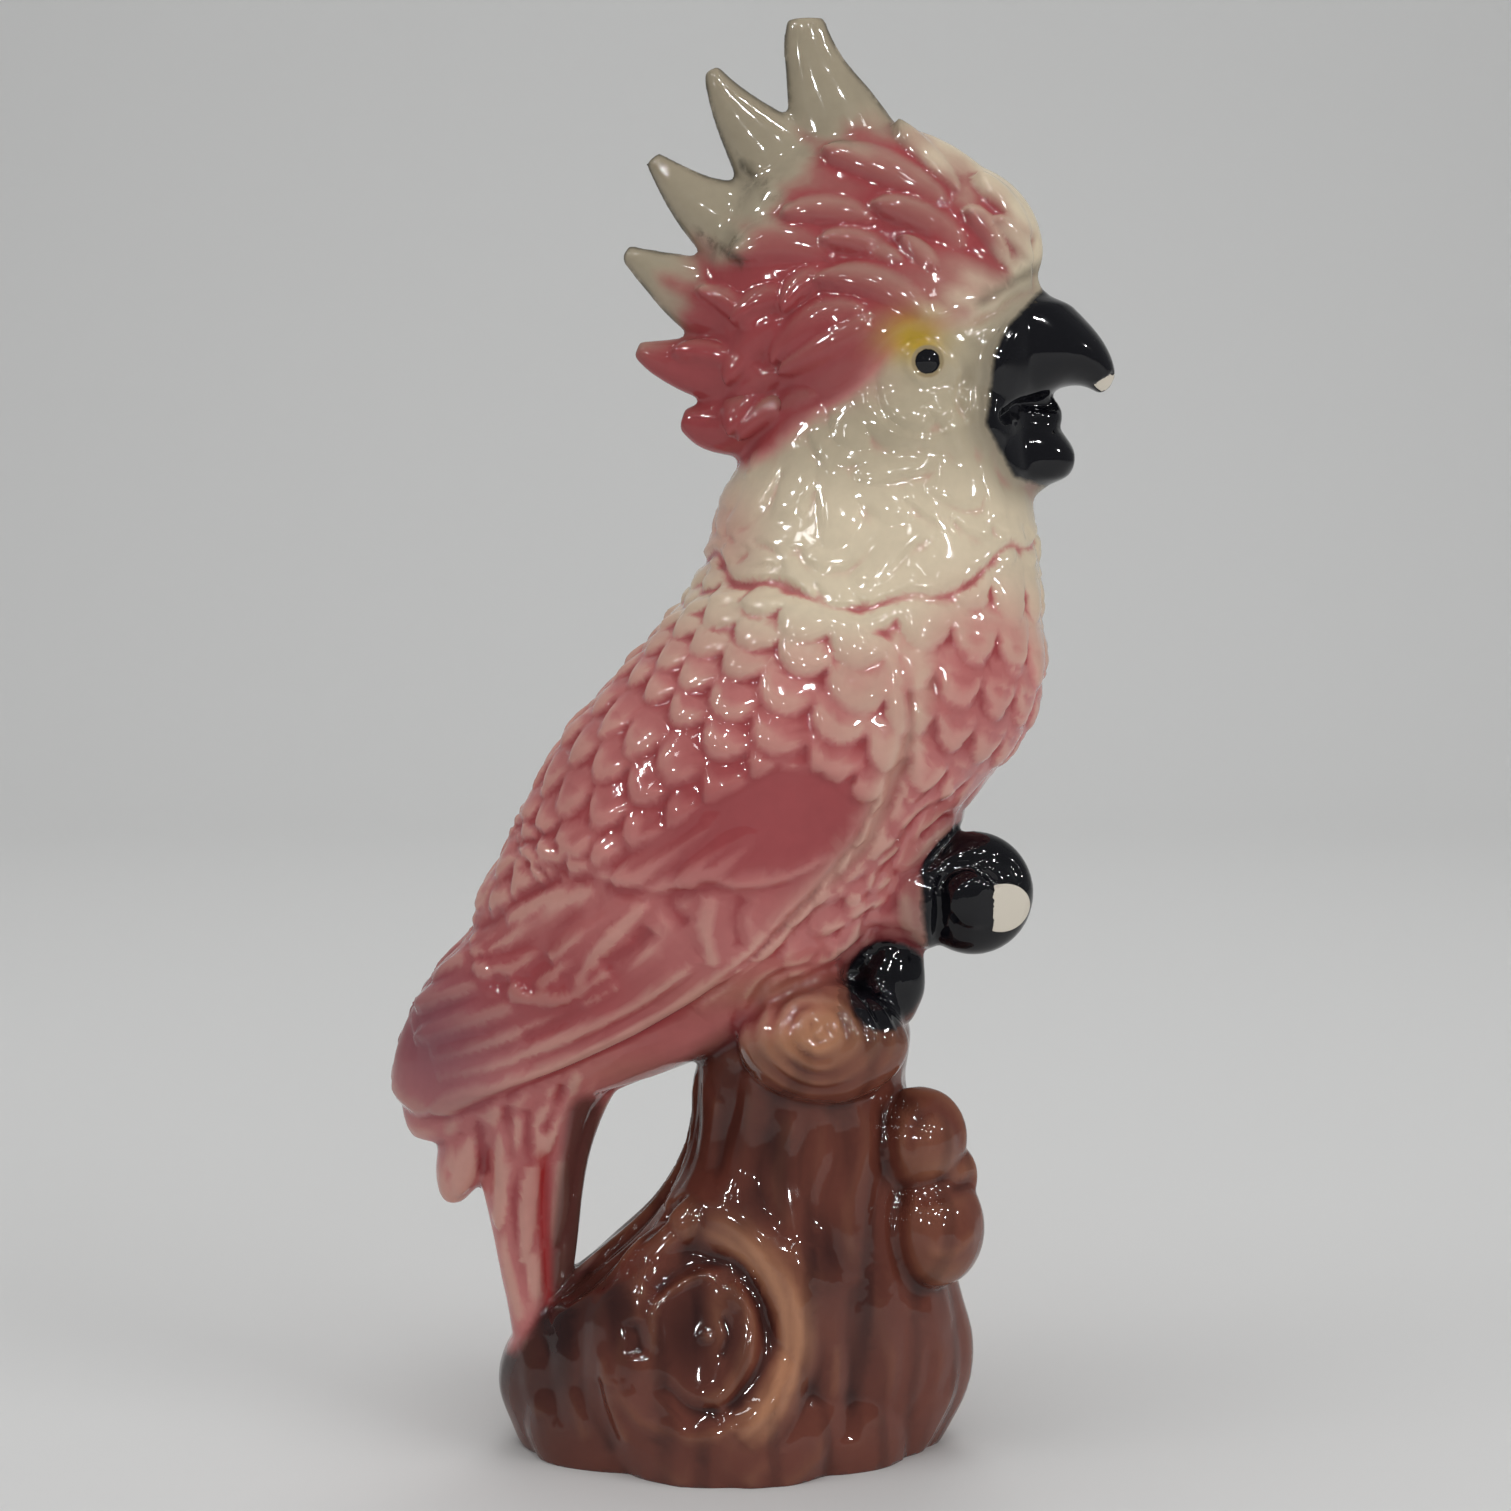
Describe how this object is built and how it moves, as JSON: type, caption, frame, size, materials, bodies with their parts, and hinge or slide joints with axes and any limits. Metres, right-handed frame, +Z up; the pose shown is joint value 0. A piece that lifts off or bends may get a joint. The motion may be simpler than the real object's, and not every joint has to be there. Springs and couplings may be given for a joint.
{
  "type": "parrot figurine",
  "caption": "Glazed ceramic cockatoo with a spread crest, perched on a gnarled tree stump; a free-standing ornament cast in one piece.",
  "frame": {"origin": "middle of the bounding box in plan, on the plane that the foot stands on", "axes": "+Z up from the foot to the crest, +X the way the bird looks, -Y its near side with the ringed branch end and the big knot"},
  "size_m": [0.1664, 0.0942, 0.3293],
  "materials": {
    "glazed_ceramic": "clear gloss glaze over sprayed dusty rose and cream plumage, black beak and claws, red-brown stump"
  },
  "bodies": {
    "root": {"parrot_figurine": "glazed_ceramic"}
  },
  "joints": []
}
